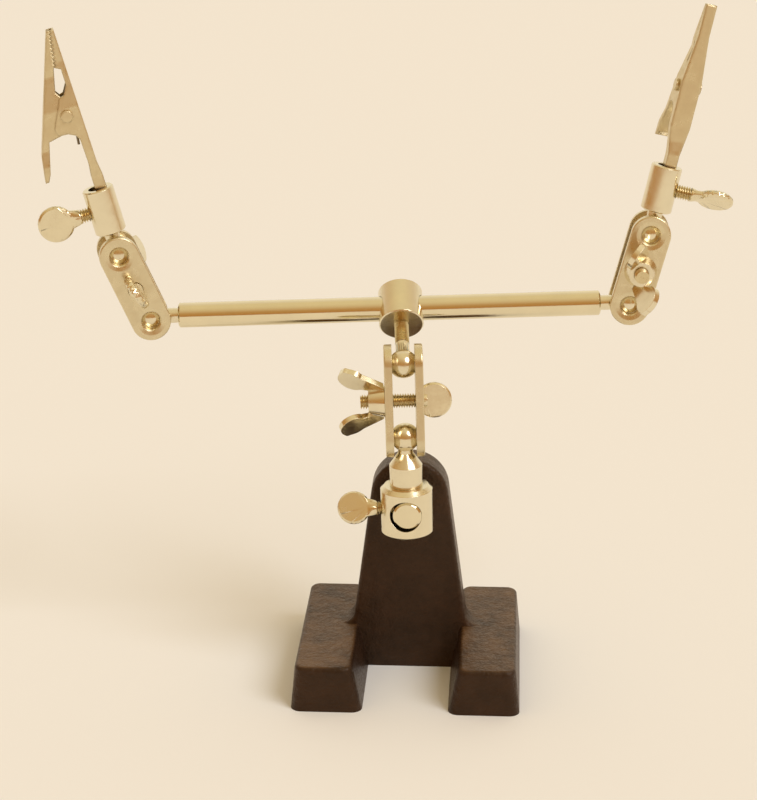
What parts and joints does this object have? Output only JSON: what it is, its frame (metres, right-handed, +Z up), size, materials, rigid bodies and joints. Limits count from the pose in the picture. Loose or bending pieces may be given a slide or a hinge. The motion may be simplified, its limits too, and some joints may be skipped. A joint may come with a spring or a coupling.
{
  "type": "third hand soldering holder",
  "caption": "Weighted iron stand with a hinged mast, a sliding crossbar and jointed arms that end in sprung crocodile clips, for holding a circuit board while it is soldered.",
  "frame": {"origin": "on the plane the base stands on, under the middle of the upright", "axes": "+Z up, +X to the right along the crossbar, -Y towards the side with the lower collar"},
  "size_m": [0.1906, 0.0636, 0.1895],
  "materials": {
    "black_enamel_iron": "glossy black enamel over rough cast iron",
    "plated_sheet": "pressed sheet, dull nickel plate",
    "plated_clip_sheet": "folded sheet, bright nickel plate",
    "spring_wire": "drawn spring wire",
    "polished_nickel": "ground rod, bright nickel plate",
    "turned_nickel": "turned steel, nickel plate"
  },
  "bodies": {
    "base": {"base_casting": "black_enamel_iron", "stub_rod": "polished_nickel"},
    "mast_collar": {"lower_collar": "turned_nickel"},
    "mast_screw": {"lower_thumbscrew": "turned_nickel"},
    "mast_ball": {"lower_ball_stud": "turned_nickel"},
    "mast_link": {"mast_plate_left": "plated_sheet", "mast_plate_right": "plated_sheet", "mast_clamp_bolt": "turned_nickel"},
    "mast_nut": {"mast_wing_nut": "turned_nickel"},
    "bar_ball": {"upper_ball_stud": "turned_nickel"},
    "bar_collar": {"upper_collar": "turned_nickel"},
    "bar": {"crossbar": "polished_nickel"},
    "left_bar_ball": {"left_bar_ball_stud": "turned_nickel"},
    "left_link": {"left_link_plate_front": "plated_sheet", "left_link_plate_back": "plated_sheet", "left_clamp_bolt": "turned_nickel"},
    "left_nut": {"left_wing_nut": "turned_nickel"},
    "left_clip_ball": {"left_clip_ball_stud": "turned_nickel"},
    "left_collar": {"left_clip_collar": "turned_nickel"},
    "left_screw": {"left_thumbscrew": "turned_nickel"},
    "left_clip": {"left_clip_fixed_jaw": "plated_clip_sheet", "left_clip_rivet": "turned_nickel", "left_clip_spring": "spring_wire"},
    "left_jaw": {"left_clip_moving_jaw": "plated_clip_sheet"},
    "right_bar_ball": {"right_bar_ball_stud": "turned_nickel"},
    "right_link": {"right_link_plate_front": "plated_sheet", "right_link_plate_back": "plated_sheet", "right_clamp_bolt": "turned_nickel"},
    "right_nut": {"right_wing_nut": "turned_nickel"},
    "right_clip_ball": {"right_clip_ball_stud": "turned_nickel"},
    "right_collar": {"right_clip_collar": "turned_nickel"},
    "right_screw": {"right_thumbscrew": "turned_nickel"},
    "right_clip": {"right_clip_fixed_jaw": "plated_clip_sheet", "right_clip_rivet": "turned_nickel", "right_clip_spring": "spring_wire"},
    "right_jaw": {"right_clip_moving_jaw": "plated_clip_sheet"}
  },
  "joints": [
    {"name": "mast_roll", "type": "hinge", "parent": "base", "child": "mast_collar", "pos_m": [0, -0.013, 0.0531], "axis": [0, 1, 0], "range_deg": [-90, 90]},
    {"name": "mast_screw_turn", "type": "hinge", "parent": "mast_collar", "child": "mast_screw", "pos_m": [-0.00404, -0.013, 0.05301], "axis": [-0.9997, 0, -0.0227], "range_deg": [0, 360]},
    {"name": "mast_ball_spin", "type": "hinge", "parent": "mast_collar", "child": "mast_ball", "pos_m": [-0.00089, -0.013, 0.07419], "axis": [-0.0227, 0, 0.9997], "continuous": true},
    {"name": "mast_swing", "type": "hinge", "parent": "mast_ball", "child": "mast_link", "pos_m": [-0.00089, -0.013, 0.07419], "axis": [-0.9969, -0.075, -0.0226], "range_deg": [-90, 70]},
    {"name": "mast_nut_turn", "type": "hinge", "parent": "mast_link", "child": "mast_nut", "pos_m": [-0.00661, -0.01198, 0.08426], "axis": [-0.9969, -0.075, -0.0226], "range_deg": [0, 360]},
    {"name": "bar_swing", "type": "hinge", "parent": "mast_link", "child": "bar_ball", "pos_m": [-0.00157, -0.01014, 0.09458], "axis": [-0.9969, -0.075, -0.0226], "range_deg": [-110, 30]},
    {"name": "bar_ball_spin", "type": "hinge", "parent": "bar_ball", "child": "bar_collar", "pos_m": [-0.00157, -0.01014, 0.09458], "axis": [-0.0755, 0.8438, 0.5313], "continuous": true},
    {"name": "bar_slide", "type": "slide", "parent": "bar_collar", "child": "bar", "axis": [0.9969, 0.075, 0.0226], "range_m": [-0.036, 0.042]},
    {"name": "left_arm_spin", "type": "hinge", "parent": "bar", "child": "left_bar_ball", "pos_m": [-0.07326, 0.00146, 0.10361], "axis": [0.9969, 0.075, 0.0226], "continuous": true},
    {"name": "left_link_swing", "type": "hinge", "parent": "left_bar_ball", "child": "left_link", "pos_m": [-0.07326, 0.00146, 0.10361], "axis": [0.2469, -0.969, 0.0056], "range_deg": [-24, 158]},
    {"name": "left_nut_turn", "type": "hinge", "parent": "left_link", "child": "left_nut", "pos_m": [-0.07852, 0.00575, 0.11306], "axis": [-0.2469, 0.969, -0.0056], "range_deg": [0, 360]},
    {"name": "left_clip_swing", "type": "hinge", "parent": "left_link", "child": "left_clip_ball", "pos_m": [-0.08111, -0.00043, 0.12256], "axis": [-0.2469, 0.969, -0.0056], "range_deg": [-80, 80]},
    {"name": "left_clip_spin", "type": "hinge", "parent": "left_clip_ball", "child": "left_collar", "pos_m": [-0.08267, -0.0008, 0.12876], "axis": [-0.2449, -0.0568, 0.9679], "continuous": true},
    {"name": "left_screw_turn", "type": "hinge", "parent": "left_collar", "child": "left_screw", "pos_m": [-0.08489, -0.00133, 0.13478], "axis": [-0.9376, -0.2404, -0.2514], "range_deg": [0, 360]},
    {"name": "left_clip_slide", "type": "slide", "parent": "left_collar", "child": "left_clip", "axis": [-0.2449, -0.0568, 0.9679], "range_m": [0, 0.0075]},
    {"name": "left_jaw_open", "type": "hinge", "parent": "left_clip", "child": "left_jaw", "pos_m": [-0.09303, -0.00324, 0.16195], "axis": [0.2469, -0.969, 0.0056], "range_deg": [0, 28], "stiffness_Nm_per_rad": 0.12, "springref_deg": -28.65, "deforming": ["left_clip_spring"]},
    {"name": "right_arm_spin", "type": "hinge", "parent": "bar", "child": "right_bar_ball", "pos_m": [0.06073, 0.01153, 0.10665], "axis": [0.9969, 0.075, 0.0226], "continuous": true},
    {"name": "right_link_swing", "type": "hinge", "parent": "right_bar_ball", "child": "right_link", "pos_m": [0.06073, 0.01153, 0.10665], "axis": [-0.0141, 0.9979, -0.063], "range_deg": [-18, 160]},
    {"name": "right_nut_turn", "type": "hinge", "parent": "right_link", "child": "right_nut", "pos_m": [0.06342, 0.00681, 0.11693], "axis": [0.0141, -0.9979, 0.063], "range_deg": [0, 360]},
    {"name": "right_clip_swing", "type": "hinge", "parent": "right_link", "child": "right_clip_ball", "pos_m": [0.06596, 0.01286, 0.12653], "axis": [0.0141, -0.9979, 0.063], "range_deg": [-80, 80]},
    {"name": "right_clip_spin", "type": "hinge", "parent": "right_clip_ball", "child": "right_collar", "pos_m": [0.06735, 0.01328, 0.13276], "axis": [0.217, 0.0646, 0.974], "continuous": true},
    {"name": "right_screw_turn", "type": "hinge", "parent": "right_collar", "child": "right_screw", "pos_m": [0.07093, 0.01369, 0.13851], "axis": [0.9761, 0.0001, -0.2174], "range_deg": [0, 360]},
    {"name": "right_clip_slide", "type": "slide", "parent": "right_collar", "child": "right_clip", "axis": [0.217, 0.0646, 0.974], "range_m": [0, 0.0075]},
    {"name": "right_jaw_open", "type": "hinge", "parent": "right_clip", "child": "right_jaw", "pos_m": [0.07505, 0.01839, 0.16643], "axis": [-0.9646, -0.139, 0.2241], "range_deg": [0, 28], "stiffness_Nm_per_rad": 0.12, "springref_deg": -28.65, "deforming": ["right_clip_spring"]}
  ]
}
